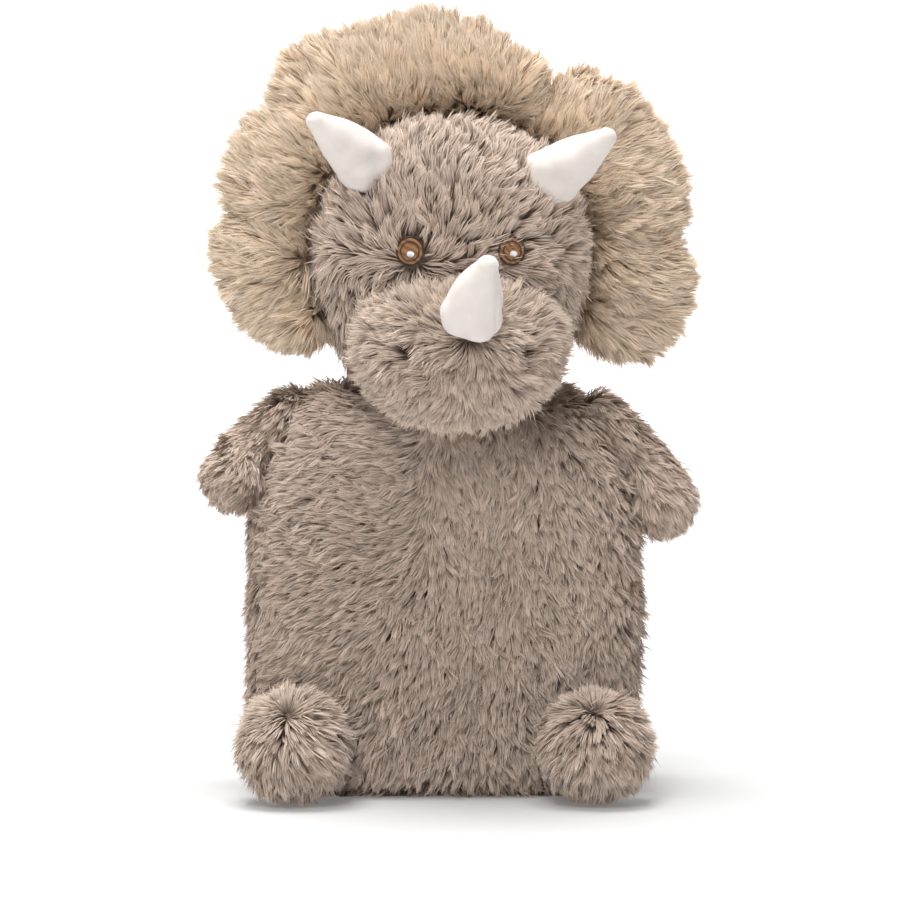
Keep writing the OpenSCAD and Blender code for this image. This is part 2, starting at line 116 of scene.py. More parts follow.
def pile_material(name, root, middle, tip, roughness):
    """Brushed polyester pile, denser at its root. Its colour runs from a darker root, painted shade deep
    in the pile, through the fibre's own colour to a lighter tip, painted light where the tips part.
    """
    material, tree, shader = start_material(name, roughness, sheen=0.15)
    place = add_node(tree, "ShaderNodeUVMap", uv_map="OFBake")
    parts = add_node(tree, "ShaderNodeSeparateXYZ", [(0, place.outputs["UV"])])
    # The ramp along each tuft paints shade at the root and light at the tip.
    along = add_node(tree, "ShaderNodeValToRGB", [(0, parts.outputs["Y"])])
    ramp = along.color_ramp
    ramp.elements[0].color = linear(root)
    ramp.elements[1].color = linear(tip)
    ramp.elements.new(0.45).color = linear(middle)
    shade = add_node(tree, "ShaderNodeMapRange", [(0, parts.outputs["X"]), (3, 0.74), (4, 1.26)])
    tinted = add_node(
        tree, "ShaderNodeMix", [(0, 1.0), (6, along.outputs["Color"]), (7, shade.outputs[0])],
        data_type="RGBA", blend_type="MULTIPLY")
    tree.links.new(tinted.outputs[2], shader.inputs["Base Color"])
    return material


def backing_material(name, colour):
    """Warp-knitted polyester backing: fine loops about 0.8 mm apart, matt."""
    material, tree, shader = start_material(name, 0.95)
    here = add_node(tree, "ShaderNodeTexCoord").outputs["Object"]
    loops = add_node(
        tree, "ShaderNodeTexVoronoi", [("Vector", here), ("Scale", 1 / (0.8 * MM))])
    light, dark = linear(colour), [0.7 * c for c in linear(colour)[:3]] + [1.0]
    tint = add_node(
        tree, "ShaderNodeMix", [(0, loops.outputs["Distance"]), (6, dark), (7, light)],
        data_type="RGBA")
    bump = add_node(
        tree, "ShaderNodeBump", [("Height", loops.outputs["Distance"]), ("Distance", 0.2 * MM)])
    tree.links.new(tint.outputs[2], shader.inputs["Base Color"])
    tree.links.new(bump.outputs[0], shader.inputs["Normal"])
    return material


taupe_backing = backing_material("knitted_backing_taupe", "#7d6c60")
# The first colour is the root's painted shade, the middle the fibre's own colour, the last the tip's
# painted light.
taupe_pile = pile_material("brushed_polyester_pile_taupe", "#69594e", "#bda999", "#eddbcb", 0.85)


def show(mesh, name, material, body):
    """An object of its own at the origin, that rides on a body and has one material."""
    piece = bpy.data.objects.new(name, mesh)
    scene.collection.objects.link(piece)
    mesh.materials.clear()
    mesh.materials.append(material)
    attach(piece, body)
    return piece


def backing_mesh(name, node, grow, voxel, lumps):
    """The knitted backing over one filling or panel: an even skin close to it, a little lumpy."""
    shell = bmesh.new()
    shell.from_mesh(frame["nodes"][node].data)
    bmesh.ops.remove_doubles(shell, verts=shell.verts, dist=0.01 * MM)
    mesh = bpy.data.meshes.new(name)
    shell.to_mesh(mesh)
    shell.free()
    form = bpy.data.objects.new(name, mesh)
    scene.collection.objects.link(form)
    even = form.modifiers.new("even", "REMESH")
    even.mode = "VOXEL"
    even.voxel_size = voxel * MM
    soft = form.modifiers.new("soft", "SMOOTH")
    soft.factor = 0.5
    soft.iterations = 6
    made = bpy.data.meshes.new_from_object(form.evaluated_get(bpy.context.evaluated_depsgraph_get()))
    bpy.data.objects.remove(form)
    skin = bmesh.new()
    skin.from_mesh(made)
    skin.normal_update()
    for vert in skin.verts:
        swell = grow + lumps * noise.noise(vert.co / (26 * MM))
        vert.co += swell * MM * vert.normal
    skin.to_mesh(made)
    skin.free()
    made.shade_smooth()
    made.name = name
    return made


def mesh_arrays(mesh):
    """Triangle corners and corner normals of a mesh, as arrays."""
    mesh.calc_loop_triangles()
    corners = np.empty(len(mesh.loop_triangles) * 3, np.int32)
    mesh.loop_triangles.foreach_get("vertices", corners)
    places = np.empty(len(mesh.vertices) * 3, np.float32)
    mesh.vertices.foreach_get("co", places)
    normals = np.empty(len(mesh.vertices) * 3, np.float32)
    mesh.vertex_normals.foreach_get("vector", normals)
    corners = corners.reshape(-1, 3)
    return places.reshape(-1, 3)[corners], normals.reshape(-1, 3)[corners]


def unit(v):
    """Rows of an array made one long."""
    return v / np.maximum(np.linalg.norm(v, axis=-1, keepdims=True), 1e-9)


def ramp_between(value, start, end):
    """0 before start, 1 after end, smooth between."""
    t = np.clip((value - start) / (end - start), 0, 1)
    return t * t * (3 - 2 * t)


def grow_pile(name, mesh, keep, comb, count, length, width, rise, seed, clump=14, pull=0.5, stray=0.04,
              swirl=0.35):
    """Tapered flat tufts on a backing, drawn together in pointed locks.

    keep(places, normals) says where they grow, comb(places, normals) which way they are brushed,
    rise is how far a tip stands off the backing as a share of its length. It and the length may
    be rules for each place as well.
    """
    rng = np.random.default_rng(seed)
    corners, normals = mesh_arrays(mesh)
    area = np.linalg.norm(np.cross(corners[:, 1] - corners[:, 0], corners[:, 2] - corners[:, 0]), axis=1)
    weight = area * keep(corners.mean(axis=1) / MM, unit(normals.mean(axis=1)))
    chosen = rng.choice(len(corners), count, p=weight / weight.sum())
    u, v = np.sqrt(rng.random(count)), rng.random(count)
    share = np.stack([1 - u, u * (1 - v), u * v], axis=1)[:, :, None]
    root = (corners[chosen] * share).sum(axis=1) / MM
    up = unit((normals[chosen] * share).sum(axis=1))

    # Each tuft belongs to the lock whose middle is nearest
    locks = max(1, count // clump)
    tree = kdtree.KDTree(locks)
    for i in range(locks):
        tree.insert(root[i], i)
    tree.balance()
    lock = np.array([tree.find(p)[1] for p in root])

    # Brushing, with swirls about 20 mm across and a little disorder from lock to lock
    way = comb(root, up)
    way = unit(way - up * (way * up).sum(axis=1, keepdims=True))
    slow = 2.1 * np.sin(root @ np.array([0.09, -0.12, 0.16]))
    curl = swirl * np.sin(root @ np.array([0.21, 0.17, 0.13]) + slow)
    turn = curl + rng.normal(0, 0.27, locks)[lock] + rng.normal(0, 0.12, count)
    across = np.cross(up, way)
    way = way * np.cos(turn)[:, None] + across * np.sin(turn)[:, None]
    reach = length(root, up) if callable(length) else length
    reach = reach * rng.normal(1, 0.1, locks)[lock] * rng.normal(1, 0.1, count)
    stand = rise(root, up) if callable(rise) else rise
    stand = stand + rng.normal(0, 0.09, locks)[lock] + rng.normal(0, 0.05, count)
    stand = np.clip(stand, 0.1, 0.97)
    loose = rng.random(count) < stray
    stand = np.where(loose, np.minimum(stand + 0.25, 0.98), stand)

    steps = np.array([0.0, 0.55, 1.0])
    lean = np.sqrt(1 - stand ** 2)
    path = (
        root[:, None] - 0.4 * up[:, None]
        + (reach * lean)[:, None, None] * way[:, None] * (steps ** 1.35)[None, :, None]
        + (reach * stand)[:, None, None] * up[:, None] * (1 - (1 - steps) ** 1.5)[None, :, None])
    drawn = np.where(loose, 0.1, pull)[:, None] * (steps ** 1.2)[None]
    path = path + (path[lock] - path) * drawn[:, :, None]

    # Flat tufts face outwards, each turned a little
    heading = unit(np.gradient(path, axis=1))
    flat = unit(np.cross(heading, up[:, None]))
    edge_on = np.cross(flat, heading)
    twist = rng.normal(0, 0.5, count)[:, None, None]
    flat = flat * np.cos(twist) + edge_on * np.sin(twist)
    half = 0.5 * width * np.array([0.85, 1.0, 0.0])[None, :, None] * rng.uniform(0.75, 1.25, (count, 1, 1))
    left, right = path - flat * half, path + flat * half
    ribs = np.concatenate([
        np.stack([left[:, :2], right[:, :2]], axis=2).reshape(count, 4, 3), path[:, 2:]], axis=1)
    ribs[:, :, 2] = np.maximum(ribs[:, :, 2], 0.4)

    made = bpy.data.meshes.new(name)
    made.vertices.add(count * 5)
    made.vertices.foreach_set("co", (ribs * MM).astype(np.float32).ravel())
    pattern = np.array([0, 1, 3, 2, 2, 3, 4])
    made.loops.add(count * 7)
    made.loops.foreach_set(
        "vertex_index", (pattern[None] + 5 * np.arange(count)[:, None]).astype(np.int32).ravel())
    made.polygons.add(count * 2)
    starts = np.array([0, 4])[None] + 7 * np.arange(count)[:, None]
    made.polygons.foreach_set("loop_start", starts.astype(np.int32).ravel())
    made.update(calc_edges=True)
    shade = 0.5 + 0.16 * rng.standard_normal(locks)[lock] + 0.12 * rng.standard_normal(count)
    shade = np.clip(shade, 0.02, 0.98)
    side = np.array([-1, 1, 1, -1, -1, 1, 0]) * 0.02
    rows = steps[np.array([0, 0, 1, 1, 1, 1, 2])]
    spread = np.stack([shade[:, None] + side[None], np.broadcast_to(rows, (count, 7))], axis=2)
    chart = made.uv_layers.new(name="OFBake")
    chart.uv.foreach_set("vector", spread.astype(np.float32).ravel())
    made.shade_smooth()
    return made


base_low, base_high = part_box("base_panel")
body_middle = (np.array(base_low) + np.array(base_high)) / 2 / MM
body_mesh = backing_mesh("body_backing", "body_stuffing", 1.6, 3.5, 1.2)
for vert in body_mesh.vertices:
    aside, high = vert.co.x / MM - body_middle[0], vert.co.z / MM
    shoulder = math.exp(-((abs(aside) - 49) / 15) ** 2) * ramp_between(high, 105, 140)
    vert.co.z += (4.6 if aside < 0 else 3.6) * shoulder * MM
body_backing = show(body_mesh, "body_backing", taupe_backing, "body")
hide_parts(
    "body_front_panel", "body_back_panel", "body_left_gusset", "body_right_gusset")


def brushed_down(places, normals):
    return np.broadcast_to(np.array([0.0, 0.0, -1.0]), places.shape)


def brushed_front(places, normals):
    """Down, but sideways across the chest's right half and outwards below it."""
    x, z = places[:, 0] - body_middle[0], places[:, 2]
    sideways = ramp_between(-x, -2, 14) * ramp_between(z, 62, 92)
    outwards = ramp_between(-x, -30, 45) * (1 - ramp_between(z, 62, 92))
    way = np.stack([-0.9 * outwards + 0.1, 0 * x, -1 + 0.2 * outwards], axis=1)
    aside = np.stack([-1 + 0 * x, 0 * x, -0.25 + 0 * x], axis=1)
    return way * (1 - sideways[:, None]) + aside * sideways[:, None]


def above_base(places, normals):
    return (places[:, 2] > 7.5) * (normals[:, 2] > -0.75)


def on_front(places, normals):
    return above_base(places, normals) * (-normals[:, 1] >= 0.9 * np.abs(normals[:, 0]))


def on_back(places, normals):
    return above_base(places, normals) * (normals[:, 1] >= 0.9 * np.abs(normals[:, 0]))


def on_left_side(places, normals):
    return above_base(places, normals) * (np.abs(normals[:, 1]) < 0.9 * normals[:, 0])


def on_right_side(places, normals):
    return above_base(places, normals) * (np.abs(normals[:, 1]) < -0.9 * normals[:, 0])


def higher_at_neck(places, normals):
    """Brushed half flat, but standing down the sides and where the shoulders meet the neck, and
    lying flatter where the muzzle comes down over the chest."""
    out = np.abs(places[:, 0] - body_middle[0])
    sides = ramp_between(out, 58, 72)
    shoulders = ramp_between(out, 26, 42) * ramp_between(places[:, 2], 142, 153)
    under_chin = (1 - ramp_between(out, 30, 46)) * ramp_between(places[:, 2], 110, 124)
    return 0.48 + 0.16 * sides + 0.38 * shoulders - 0.2 * under_chin * (normals[:, 1] < 0)


def on_chest(places, normals):
    return on_front(places, normals) * (places[:, 2] > 84)


def on_belly(places, normals):
    return on_front(places, normals) * (places[:, 2] <= 84)


body_pile = {
    "chest_pile": (on_chest, brushed_front, 52000, 11),
    "belly_pile": (on_belly, brushed_front, 56000, 15),
    "back_pile": (on_back, brushed_down, 54000, 12),
    "left_side_pile": (on_left_side, brushed_down, 24000, 13),
    "right_side_pile": (on_right_side, brushed_down, 24000, 14),
}
for name, (where, brushing, count, seed) in body_pile.items():
    tufts = grow_pile(
        name, body_backing.data, where, brushing, count,
        length=8.8, width=0.46 if where in (on_chest, on_belly) else 0.62, rise=higher_at_neck,
        seed=seed, clump=13)
    show(tufts, name, taupe_pile, "body")

# ---------- base panel ----------
# A flat panel of the same plush closes the body underneath. Its pile shows only as a fringe
# brushed out and down at the edge.
base_cover = show(
    backing_mesh("base_cover", "base_panel", -0.2, 2.5, 0.0), "base_cover",
    taupe_backing, "body")
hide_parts("base_panel")


def brushed_outwards(places, normals):
    return (places - body_middle) * np.array([1.0, 1.0, 0.0]) + np.array([0.0, 0.0, -30.0])


def base_edge(places, normals):
    return 1.0 * (np.abs(normals[:, 2]) < 0.9)


show(
    grow_pile(
        "base_pile", base_cover.data, base_edge, brushed_outwards, 9000,
        length=8.0, width=0.8, rise=0.75, seed=21),
    "base_pile", taupe_pile, "body")

# ---------- head ----------
# Two face panels and a back panel of the same plush around a ball of filling. The pile is
# brushed up and out over the brow, and down the cheeks.
head_low, head_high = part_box("head_stuffing")
filling_radius = 46.8
head_middle = np.array([
    (head_low[0] + head_high[0]) / 2 / MM, (head_low[1] + head_high[1]) / 2 / MM,
    head_high[2] / MM - filling_radius])
head_yaw = math.radians(4)


def turned(x, y, z):
    """A direction in the head's own frame, turned as the head is."""
    return np.array([
        x * math.cos(head_yaw) - y * math.sin(head_yaw),
        x * math.sin(head_yaw) + y * math.cos(head_yaw), z])


def on_head(x, y, z):
    """A place in mm from the head's middle, in the head's own frame."""
    return head_middle + turned(x, y, z)


head_mesh = backing_mesh("head_backing", "head_stuffing", 1.2, 3.0, 1.0)
for vert in head_mesh.vertices:
    x, y, z = np.array(vert.co) / MM - head_middle
    cheek = math.exp(-((z + 45) / 13) ** 2) * ramp_between(abs(x), 6, 24)
    vert.co += Vector((math.copysign(12.0, x), 0.0, -1.5)) * cheek * MM
head_backing = show(head_mesh, "head_backing", taupe_backing, "head")
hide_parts("head_left_panel", "head_right_panel", "head_back_panel")
eye_ways = {
    side: unit(np.array([sign * 19.5, -50.0, 3.7])) for side, sign in (("left", 1), ("right", -1))}
eye_places = [
    on_head(*(54 * way + np.array([aside, 0, 0])))
    for way, aside in zip(eye_ways.values(), (1.4, 0.2))]
eye_clear = 7.4


def brushed_head(places, normals):
    """Away from the bridge of the nose, drawn down at the sides and behind."""
    from_bridge = places - on_head(-1, -50, -21)
    outwards = unit(from_bridge)
    behind = ramp_between(places[:, 1], 20, 50)[:, None]
    down = np.array([0.0, 0.0, -1.0])
    low = ramp_between(206 - places[:, 2], -14, 18)[:, None]
    way = outwards * (1 - 0.75 * low) + down * 0.75 * low
    way = way + np.array([0.35, 0.0, 0.1])
    return way * (1 - behind) + down * behind


def around_eyes(places, normals):
    """All over the ball, clipped away where the eyes are stitched through."""
    clear = np.ones(len(places))
    for eye in eye_places:
        clear = clear * (np.linalg.norm(places - eye, axis=1) > eye_clear)
    return clear


show(
    grow_pile(
        "head_pile", head_backing.data, around_eyes, brushed_head, 62000,
        length=9.0, width=0.5, rise=0.52, seed=31, swirl=0.45),
    "head_pile", taupe_pile, "head")

# ---------- muzzle ----------
# One plump plush roll sewn across the face. The pile stands up and turns away from the nose.
muzzle_backing = show(
    backing_mesh("muzzle_backing", "muzzle_stuffing", 1.2, 2.5, 1.2), "muzzle_backing",
    taupe_backing, "head")
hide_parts("muzzle_cover")
nose_place = on_head(1, -70, -27)


def brushed_muzzle(places, normals):
    return places - nose_place


def all_over(places, normals):
    return np.ones(len(places))


def shorter_under_chin(places, normals):
    """The pile is trimmed where the muzzle rests over the chest."""
    return 10.0 - 5.0 * ramp_between(normals @ np.array([0.0, 0.8, -0.6]), 0.35, 0.85)


nostril_places = [on_head(side * 17.5, -64, -32.5) for side in (-1, 1)]
nostril_clear = 4.0


def around_nostrils(places, normals):
    clear = np.ones(len(places))
    for nostril in nostril_places:
        off = np.linalg.norm((places - nostril) * np.array([1.0, 0.6, 0.8]), axis=1)
        clear = clear * (off > nostril_clear)
    return clear


show(
    grow_pile(
        "muzzle_pile", muzzle_backing.data, around_nostrils, brushed_muzzle, 52000,
        length=shorter_under_chin, width=0.45, rise=0.6, seed=41, swirl=0.6),
    "muzzle_pile", taupe_pile, "head")

# ---------- frill ----------
# A padded, scalloped fan of longer beige plush, sewn into the seam behind the face. The pile
# is brushed out from the head and overhangs the rim.
beige_backing = backing_material("knitted_backing_beige", "#c4ad94")
# The first colour is the root's painted shade, the middle the fibre's own colour, the last the tip's
# painted light.
beige_pile = pile_material("brushed_polyester_pile_beige", "#b09880", "#e8d1b6", "#f9ead6", 0.85)
frill_mesh = backing_mesh("frill_backing", "frill_wadding", 1.0, 2.5, 1.4)
# The folds between the rim's lobes: place around the head in degrees from the toy's left, depth
# in mm, half width in degrees
frill_folds = (
    (-33, 8, 7), (2, 6, 5), (50, 6, 8), (59, 24, 4), (70, 14, 9), (86, 6, 9), (105, 3, 6),
    (128, -5, 8), (141, 5, 5), (170, 6, 5), (190, 4, 9), (203, 8, 8), (213, 16, 7))
# Creases pressed into the padding: place in degrees, from and to radius, depth, half width
frill_creases = (
    (2, 66, 96, 7, 4), (60, 60, 96, 9, 5), (128, 74, 98, 7, 3), (171, 60, 92, 7, 4),
    (100, 62, 84, 3, 7), (196, 62, 88, 5, 5), (-20, 62, 90, 5, 5), (35, 66, 92, 3, 6))
frill_rim_reach = 84.8
frill_low, frill_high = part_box("frill_wadding")
frill_plane = (frill_low[1] + frill_high[1]) / 2 / MM
inner_reach = 54.8
rim_by_angle = {}
bank = []
for vert in frill_mesh.vertices:
    x, y, z = np.array(vert.co) / MM - head_middle
    place, reach = math.degrees(math.atan2(z, x)), math.hypot(x, z)
    place += 360 if place < -90 else 0
    bank.append((vert, y, place, reach))
    step = round(place / 3)
    rim_by_angle[step] = max(rim_by_angle.get(step, 0), reach)
for vert, y, place, reach in bank:
    step = round(place / 3)
    rim = max(rim_by_angle.get(step + k, 0) for k in (-1, 0, 1))
    share = max(0.0, (reach - inner_reach) / (rim - inner_reach))
    wanted = frill_rim_reach if -29 < place < 209 else min(frill_rim_reach, rim - 3)
    wanted -= sum(depth * math.exp(-((place - at) / wide) ** 2) for at, depth, wide in frill_folds)
    new_reach = reach if share == 0 else inner_reach + (wanted - inner_reach) * share
    in_front = ramp_between(-y + 12, -6, 6)
    press = sum(
        depth * math.exp(-((place - at) / wide) ** 2)
        * ramp_between(new_reach, start - 6, start + 6) * (1 - ramp_between(new_reach, end - 4, end + 8))
        for at, start, end, depth, wide in frill_creases)
    # The top lobe folds in front of the left one
    lap = 5.0 * math.exp(-((place - 70) / 7) ** 2) - 6.0 * math.exp(-((place - 51) / 6) ** 2)
    # The padding thins towards the rim, which is rounded over
    from_plane = head_middle[1] + y - frill_plane
    new_reach -= 8.0 * share ** 3 * min(1.0, abs(from_plane) / 13) ** 2
    thinned = frill_plane + from_plane * (1 - 0.4 * share ** 2)
    angle = math.radians(place)
    vert.co = Vector((
        head_middle[0] + new_reach * math.cos(angle),
        thinned + press * in_front - lap * share,
        head_middle[2] + new_reach * math.sin(angle))) * MM
frill_backing = show(frill_mesh, "frill_backing", beige_backing, "frill")
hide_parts("frill_front_panel", "frill_back_panel")


def brushed_from_head(places, normals):
    """Outwards from the head, closing over the rim from both faces."""
    out = unit((places - head_middle) * np.array([1.0, 0.0, 1.0]))
    closing = (frill_plane - places[:, 1]) / 12
    return out + closing[:, None] * np.array([0.0, 1.0, 0.0])


def frill_faces_front(places, normals):
    return 1.0 * (normals[:, 1] < 0.12)


def frill_faces_back(places, normals):
    return 1.0 * (normals[:, 1] >= 0.12)


def standing_at_rim(places, normals):
    """Brushed flat on both faces, but standing straight out where the rim turns over."""
    outwards = unit((places - head_middle) * np.array([1.0, 0.0, 1.0]))
    return 0.42 + 0.5 * np.clip((normals * outwards).sum(axis=1), 0, 1) ** 3


def frill_front_left(places, normals):
    return frill_faces_front(places, normals) * (places[:, 0] > head_middle[0])


def frill_front_right(places, normals):
    return frill_faces_front(places, normals) * (places[:, 0] <= head_middle[0])


for name, where, count, seed in (
        ("frill_front_left_pile", frill_front_left, 46000, 51),
        ("frill_front_right_pile", frill_front_right, 46000, 53),
        ("frill_back_pile", frill_faces_back, 52000, 52)):
    tufts = grow_pile(
        name, frill_backing.data, where, brushed_from_head, count,
        length=11.5, width=0.46, rise=standing_at_rim, seed=seed, clump=20, pull=0.45)
    show(tufts, name, beige_pile, "frill")

# ---------- arms ----------
# Two short plush paddles, filled and sewn on at the shoulders; the pile runs to the hand.
arm_ways = {"left": np.array([0.6, -0.1, -0.8]), "right": np.array([-0.52, -0.5, -0.68])}
shoulder_gathers = {"left": np.array([-7.0, -1.5, 3.5]), "right": np.array([8.0, -2.0, 5.0])}
hand_hangs = {"left": np.array([-0.5, 0.0, -3.5]), "right": np.array([2.0, 0.0, 4.5])}
for number, side in enumerate(("left", "right")):
    along_arm = arm_ways[side]
    arm_mesh = backing_mesh(side + "_arm_backing", side + "_arm_stuffing", 0.8, 2.0, 0.8)
    down_arm = [float(np.dot(np.array(vert.co) / MM, along_arm)) for vert in arm_mesh.vertices]
    for vert, reach in zip(arm_mesh.vertices, down_arm):
        share = (reach - min(down_arm)) / (max(down_arm) - min(down_arm))
        gathered = shoulder_gathers[side] * max(0.0, 1 - share / 0.45)
        vert.co += Vector(hand_hangs[side] * share ** 1.3 + gathered) * MM
    arm_backing = show(arm_mesh, side + "_arm_backing", taupe_backing, side + "_arm")
    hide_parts(side + "_arm_cover")

    def brushed_along_arm(places, normals, along_arm=along_arm):
        return np.broadcast_to(along_arm, places.shape)

    tufts = grow_pile(
        side + "_arm_pile", arm_backing.data, all_over, brushed_along_arm, 20000,
        length=9.0, width=0.52, rise=0.4, seed=61 + number)
    show(tufts, side + "_arm_pile", taupe_pile, side + "_arm")

# ---------- feet ----------
# Two stuffed balls of plush sewn to the front corners. The pile radiates from a whorl high on
# the front.
whorl_offsets = {"left": np.array([0.5, -20.0, 12.0]), "right": np.array([-1.5, -20.0, 8.0])}
for number, side in enumerate(("left", "right")):
    foot_backing = show(
        backing_mesh(side + "_foot_backing", side + "_foot_stuffing", 0.8, 2.0, 0.8),
        side + "_foot_backing", taupe_backing, side + "_foot")
    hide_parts(side + "_foot_cover")
    low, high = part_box(side + "_foot_cover")
    whorl = np.array([(low[0] + high[0]) / 2, high[1], (low[2] + high[2]) / 2]) / MM + whorl_offsets[side]

    def brushed_from_whorl(places, normals, whorl=whorl):
        return places - whorl + np.array([0.0, 0.0, -7.0])

    tufts = grow_pile(
        side + "_foot_pile", foot_backing.data, all_over, brushed_from_whorl, 17000,
        length=9.0, width=0.52, rise=0.46, seed=71 + number)
    show(tufts, side + "_foot_pile", taupe_pile, side + "_foot")

# ---------- horns ----------
# Three filled cones of off-white velour, each cut in one piece and closed by one seam along its
# length. The cloth puckers where the horn is sewn into the pile, and a little along the seam.


def velour_material(name, colour, shadow):
    """Short-napped velour: a nap of about 0.35 mm that scatters light, with a faint mottle."""
    material, tree, shader = start_material(name, 0.9, sheen=0.35)
    here = add_node(tree, "ShaderNodeTexCoord").outputs["Object"]
    nap = add_node(
        tree, "ShaderNodeTexNoise", [("Vector", here), ("Scale", 1 / (0.35 * MM)), ("Detail", 3.0)])
    mottle = add_node(
        tree, "ShaderNodeTexNoise", [("Vector", here), ("Scale", 1 / (7 * MM)), ("Detail", 2.0)])
    blend = add_node(
        tree, "ShaderNodeMix", [(0, 0.4), (2, mottle.outputs[0]), (3, nap.outputs[0])],
        data_type="FLOAT")
    tint = add_node(
        tree, "ShaderNodeMix", [(0, blend.outputs[0]), (6, linear(shadow)), (7, linear(colour))],
        data_type="RGBA")
    bump = add_node(
        tree, "ShaderNodeBump",
        [("Height", nap.outputs[0]), ("Distance", 0.12 * MM), ("Strength", 0.7)])
    tree.links.new(tint.outputs[2], shader.inputs["Base Color"])
    tree.links.new(bump.outputs[0], shader.inputs["Normal"])
    return material


horn_velour = velour_material("short_velour_off_white", "#f4ede7", "#dbd2cb")


def placed(foot, way):
    """The place of something drawn along +Z: its foot in mm and the way it points."""
    return (
        Matrix.Translation(Vector(foot) * MM)
        @ Vector(way).to_track_quat("Z", "Y").to_matrix().to_4x4())


def spun(outline, steps):
    """A closed round shape: an outline of (out, up) points in mm, spun about Z."""
    shape = bmesh.new()
    points = [shape.verts.new((out * MM, 0, up * MM)) for out, up in outline]
    for a, b in zip(points, points[1:]):
        shape.edges.new((a, b))
    bmesh.ops.spin(
        shape, geom=shape.verts[:] + shape.edges[:], cent=(0, 0, 0), axis=(0, 0, 1),
        angle=2 * math.pi, steps=steps, use_merge=True)
    bmesh.ops.remove_doubles(shape, verts=shape.verts, dist=0.002 * MM)
    bmesh.ops.recalc_face_normals(shape, faces=shape.faces)
    return shape


def horn_outline(length, base, tip):
    """Half a horn's outline, from the middle of its base to the middle of its tip, in mm."""
    reach = length - tip
    flank = [(base + (tip - base) * t + 0.9 * math.sin(math.pi * t), reach * t) for t in (
        0.0, 0.06, 0.12, 0.2, 0.28, 0.36, 0.44, 0.52, 0.6, 0.68, 0.76, 0.84, 0.92)]
    crown = [(tip * math.cos(q), reach + tip * math.sin(q)) for q in (
        math.radians(d) for d in range(0, 91, 15))]
    return [(0, -7), (base - 2, -7), (base, -5), (base + 0.3, -2.5)] + flank + crown


# Foot and way in the head's own frame, length, base radius, where the seam runs, sway of the tip
horns = {
    "nose_horn": ((2.8, -67.6, -16.8), (0.170, -0.574, 0.801), 26, 11.5, 5.3, 3.0),
    "left_brow_horn": ((36.4, -25.9, 30.2), (0.69, -0.49, 0.53), 30, 11, 1.1, 2.0),
    "right_brow_horn": ((-34.8, -24.0, 35.4), (-0.65, -0.45, 0.61), 30, 11, 4.4, 3.0),
}
horn_tip = 4.0
for name, (foot, way, length, base, seam_side, bend) in horns.items():
    horn = spun(horn_outline(length, base, horn_tip), 72)
    for vert in horn.verts:
        x, y, z = vert.co / MM
        out, angle = math.hypot(x, y), math.atan2(y, x)
        off_seam = abs((angle - seam_side + math.pi) % (2 * math.pi) - math.pi)
        low = max(0.0, 1 - max(z, 0) / (0.45 * length))
        groove = -0.75 * math.exp(-(off_seam * out / 0.8) ** 2) * (0.35 + 0.65 * low)
        pucker = 0.28 * math.sin(z * 2.1 + 3 * math.cos(angle)) * math.exp(-(off_seam * out / 3.0) ** 2)
        gathers = 0.55 * low ** 2 * math.sin(5 * angle + seam_side) * math.sin(0.5 * z + 1.1)
        dents = 0.75 * noise.noise(vert.co / (8 * MM) + Vector((seam_side, 0, 0)))
        crease = -0.7 * math.exp(-((z - 5.5 - 1.4 * math.sin(angle + seam_side)) / 1.1) ** 2) * (
            0.5 + 0.5 * math.cos(angle - seam_side - 1.2))
        grow = 1 + (groove + pucker + gathers + dents + crease) / max(out, 3.0) * min(1.0, out / 3.0)
        sway = bend * (max(z, 0) / length) ** 2 * 0.4
        aside, back = sway * math.cos(seam_side), sway * math.sin(seam_side)
        vert.co = Vector((x * grow + aside, y * grow + back, z)) * MM
    horn.transform(placed(on_head(*foot), turned(*way)))
    mesh = bpy.data.meshes.new(name)
    horn.to_mesh(mesh)
    horn.free()
    mesh.shade_smooth()
    cloth = show(mesh, name, horn_velour, "head")
    even = cloth.modifiers.new("even", "SUBSURF")
    even.levels = even.render_levels = 1
    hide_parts(name + "_cover")

# ---------- eyes ----------
# Each eye is machine-embroidered: a dark satin-stitched rim, a copper ring of stitches laid in
# rounds with a dark line between, and a white satin highlight. Each stitch of rayon thread is
# about 0.5 mm thick.


def thread_material(name, colour, shadow):
    """Twisted rayon thread: satin, with the twist showing as uneven bands about 2 mm apart."""
    material, tree, shader = start_material(name, 0.42, sheen=0.1)
    shader.inputs["Specular IOR Level"].default_value = 0.5
    here = add_node(tree, "ShaderNodeTexCoord").outputs["Object"]
    twist = add_node(
        tree, "ShaderNodeTexWave",
        [("Vector", here), ("Scale", 1 / (5 * MM)), ("Distortion", 3.0), ("Detail", 2.0)],
        bands_direction="DIAGONAL")
    tint = add_node(
        tree, "ShaderNodeMix", [(0, twist.outputs["Fac"]), (6, linear(shadow)), (7, linear(colour))],
        data_type="RGBA")
    bump = add_node(
        tree, "ShaderNodeBump",
        [("Height", twist.outputs["Fac"]), ("Distance", 0.05 * MM), ("Strength", 0.6)])
    tree.links.new(tint.outputs[2], shader.inputs["Base Color"])
    tree.links.new(bump.outputs[0], shader.inputs["Normal"])
    return material


dark_rayon = thread_material("rayon_thread_dark_brown", "#4a3226", "#2e1f18")
copper_rayon = thread_material("rayon_thread_copper", "#a8764b", "#7c5433")
white_rayon = thread_material("rayon_thread_white", "#ffffff", "#dde2ea")
thread = 0.42


def add_stitch(shape, middle, along, length):
    """One satin stitch: a slim rounded thread lying along a direction, in mm."""
    made = bmesh.ops.create_icosphere(shape, subdivisions=1, radius=1.0)["verts"]
    size = Matrix.Diagonal((0.6 * thread, 0.6 * thread, 0.5 * length, 1))
    bmesh.ops.transform(
        shape, verts=made,
        matrix=Matrix.Scale(MM, 4) @ Matrix.Translation(Vector(middle))
        @ Vector(along).to_track_quat("Z", "Y").to_matrix().to_4x4() @ size)


